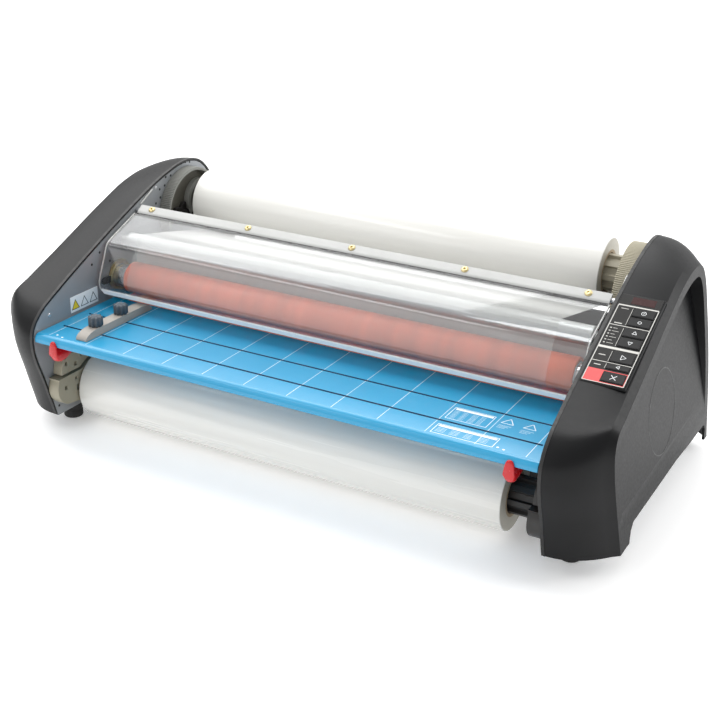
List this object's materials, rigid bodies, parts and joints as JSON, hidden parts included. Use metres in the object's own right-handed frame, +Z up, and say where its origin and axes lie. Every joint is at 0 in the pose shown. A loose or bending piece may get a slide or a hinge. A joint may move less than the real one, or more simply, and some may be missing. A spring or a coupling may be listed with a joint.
{
  "type": "roll laminator",
  "caption": "Table-top roll laminator with upper and lower film rolls, heated rollers, a blue feed table, a hinged clear shield and a keypad panel.",
  "frame": {"origin": "centre of the footprint, at the soles of the feet", "axes": "+X to the operator's right along the rollers, +Y to the rear, +Z up"},
  "size_m": [0.889, 0.4844, 0.322],
  "materials": {
    "housing": "satin moulded, dark charcoal",
    "plate": "satin grey powder coat",
    "base": "satin black",
    "steel": "turned",
    "brass": "satin",
    "rubber": "matte",
    "silicone": "satin",
    "table": "gloss blue laminate",
    "film": "glossy wound film",
    "ivory": "matte moulded",
    "support_grey": "matte moulded",
    "dark_plastic": "matte moulded",
    "latch_red": "gloss",
    "guide": "matte moulded",
    "knob": "matte moulded",
    "panel": "satin printed overlay",
    "key": "satin",
    "aluminium": "brushed",
    "acrylic": "clear polished"
  },
  "bodies": {
    "frame": {"right_housing": "housing", "left_housing": "housing", "right_side_plate": "plate", "left_side_plate": "plate", "base_pan": "base", "rear_cover": "housing", "front_left_foot": "rubber", "front_right_foot": "rubber", "rear_left_foot": "rubber", "rear_right_foot": "rubber", "upper_right_support": "ivory", "upper_left_support": "support_grey", "lower_left_support": "ivory", "lower_right_support": "dark_plastic", "upper_heater_rod": "steel", "lower_heater_rod": "steel", "right_roller_bearing": "brass", "left_roller_bearing": "brass", "drive_belt": "rubber", "drive_motor": "steel", "upper_film_web": "film", "control_overlay": "panel", "power_inlet": "dark_plastic"},
    "table": {"feed_table": "table"},
    "left_latch": {"left_table_latch": "latch_red"},
    "right_latch": {"right_table_latch": "latch_red"},
    "guide": {"side_guide": "guide"},
    "front_knob": {"front_guide_knob": "knob"},
    "rear_knob": {"rear_guide_knob": "knob"},
    "shield": {"shield_panel": "acrylic", "shield_strip": "aluminium", "shield_rod": "steel"},
    "upper_supply": {"upper_film_roll": "film", "upper_mandrel": "steel", "upper_core_adapter": "ivory"},
    "lower_supply": {"lower_film_roll": "film", "lower_mandrel": "steel", "lower_core_adapter": "dark_plastic"},
    "upper_heat_roller": {"upper_heat_sleeve": "silicone", "upper_heat_core": "steel", "upper_roller_gear": "dark_plastic"},
    "lower_heat_roller": {"lower_heat_sleeve": "silicone", "lower_heat_core": "steel", "lower_roller_gear": "dark_plastic"},
    "upper_pull": {"upper_pull_roller": "rubber"},
    "lower_pull": {"lower_pull_roller": "rubber", "pull_pulley": "dark_plastic"},
    "upper_idle": {"upper_idler": "steel"},
    "lower_idle": {"lower_idler": "steel"},
    "motor_wheel": {"motor_pulley": "steel"},
    "switch": {"power_switch": "key"},
    "breaker": {"breaker_button": "dark_plastic"},
    "power_key_cap": {"power_key": "key"},
    "mode_key_cap": {"mode_key": "key"},
    "up_key_cap": {"up_key": "key"},
    "down_key_cap": {"down_key": "key"},
    "run_key_cap": {"run_key": "key"},
    "reverse_key_cap": {"reverse_key": "key"},
    "stop_key_cap": {"stop_key": "key"}
  },
  "joints": [
    {"name": "table_release", "type": "slide", "parent": "frame", "child": "table", "axis": [0, -1, 0], "range_m": [0, 0.12]},
    {"name": "left_latch_turn", "type": "hinge", "parent": "table", "child": "left_latch", "pos_m": [-0.329, -0.203, 0.146], "axis": [1, 0, 0], "range_deg": [0, 25]},
    {"name": "right_latch_turn", "type": "hinge", "parent": "table", "child": "right_latch", "pos_m": [0.329, -0.203, 0.146], "axis": [1, 0, 0], "range_deg": [0, 25]},
    {"name": "guide_slide", "type": "slide", "parent": "table", "child": "guide", "axis": [1, 0, 0], "range_m": [-0.03, 0.55]},
    {"name": "front_knob_turn", "type": "hinge", "parent": "guide", "child": "front_knob", "pos_m": [-0.292, -0.195, 0.175], "axis": [0, 0, 1], "continuous": true},
    {"name": "rear_knob_turn", "type": "hinge", "parent": "guide", "child": "rear_knob", "pos_m": [-0.292, -0.142, 0.175], "axis": [0, 0, 1], "continuous": true},
    {"name": "shield_lift", "type": "hinge", "parent": "frame", "child": "shield", "pos_m": [0, -0.0058, 0.2744], "axis": [-1, 0, 0], "range_deg": [0, 100]},
    {"name": "upper_heat_spin", "type": "hinge", "parent": "frame", "child": "upper_heat_roller", "pos_m": [0, -0.053, 0.18815], "axis": [1, 0, 0], "continuous": true},
    {"name": "lower_heat_spin", "type": "hinge", "parent": "frame", "child": "lower_heat_roller", "pos_m": [0, -0.053, 0.13985], "axis": [1, 0, 0], "continuous": true},
    {"name": "upper_pull_spin", "type": "hinge", "parent": "frame", "child": "upper_pull", "pos_m": [0, 0.119, 0.18615], "axis": [1, 0, 0], "continuous": true},
    {"name": "lower_pull_spin", "type": "hinge", "parent": "frame", "child": "lower_pull", "pos_m": [0, 0.119, 0.14185], "axis": [1, 0, 0], "continuous": true},
    {"name": "upper_idler_spin", "type": "hinge", "parent": "frame", "child": "upper_idle", "pos_m": [0, -0.04, 0.238], "axis": [1, 0, 0], "continuous": true},
    {"name": "lower_idler_spin", "type": "hinge", "parent": "frame", "child": "lower_idle", "pos_m": [0, -0.084, 0.118], "axis": [1, 0, 0], "continuous": true},
    {"name": "upper_supply_spin", "type": "hinge", "parent": "frame", "child": "upper_supply", "pos_m": [0, 0.1306, 0.2618], "axis": [1, 0, 0], "continuous": true},
    {"name": "lower_supply_spin", "type": "hinge", "parent": "frame", "child": "lower_supply", "pos_m": [0, -0.1326, 0.0535], "axis": [1, 0, 0], "continuous": true},
    {"name": "motor_spin", "type": "hinge", "parent": "frame", "child": "motor_wheel", "pos_m": [0, 0.048, 0.084], "axis": [1, 0, 0], "continuous": true},
    {"name": "switch_rock", "type": "hinge", "parent": "frame", "child": "switch", "pos_m": [0.249, 0.226, 0.063], "axis": [1, 0, 0], "range_deg": [0, 14]},
    {"name": "breaker_press", "type": "slide", "parent": "frame", "child": "breaker", "axis": [0, -1, 0], "range_m": [0, 0.003], "stiffness_N_per_m": 400},
    {"name": "power_key_press", "type": "slide", "parent": "frame", "child": "power_key_cap", "axis": [0, 0.4051, -0.9143], "range_m": [0, 0.001], "stiffness_N_per_m": 350},
    {"name": "mode_key_press", "type": "slide", "parent": "frame", "child": "mode_key_cap", "axis": [0, 0.4051, -0.9143], "range_m": [0, 0.001], "stiffness_N_per_m": 350},
    {"name": "up_key_press", "type": "slide", "parent": "frame", "child": "up_key_cap", "axis": [0, 0.4051, -0.9143], "range_m": [0, 0.001], "stiffness_N_per_m": 350},
    {"name": "down_key_press", "type": "slide", "parent": "frame", "child": "down_key_cap", "axis": [0, 0.4051, -0.9143], "range_m": [0, 0.001], "stiffness_N_per_m": 350},
    {"name": "run_key_press", "type": "slide", "parent": "frame", "child": "run_key_cap", "axis": [0, 0.4051, -0.9143], "range_m": [0, 0.001], "stiffness_N_per_m": 350},
    {"name": "reverse_key_press", "type": "slide", "parent": "frame", "child": "reverse_key_cap", "axis": [0, 0.4051, -0.9143], "range_m": [0, 0.001], "stiffness_N_per_m": 350},
    {"name": "stop_key_press", "type": "slide", "parent": "frame", "child": "stop_key_cap", "axis": [0, 0.4051, -0.9143], "range_m": [0, 0.001], "stiffness_N_per_m": 350}
  ],
  "couplings": [
    {"joint": "lower_heat_spin", "follows": "upper_heat_spin", "ratio": -1},
    {"joint": "upper_pull_spin", "follows": "upper_heat_spin", "ratio": 1.0909},
    {"joint": "lower_pull_spin", "follows": "upper_heat_spin", "ratio": -1.0909},
    {"joint": "upper_idler_spin", "follows": "upper_heat_spin", "ratio": 1.9672},
    {"joint": "lower_idler_spin", "follows": "upper_heat_spin", "ratio": 3},
    {"joint": "upper_supply_spin", "follows": "upper_heat_spin", "ratio": -0.52174},
    {"joint": "lower_supply_spin", "follows": "upper_heat_spin", "ratio": 0.5},
    {"joint": "motor_spin", "follows": "upper_heat_spin", "ratio": -1.6364}
  ]
}
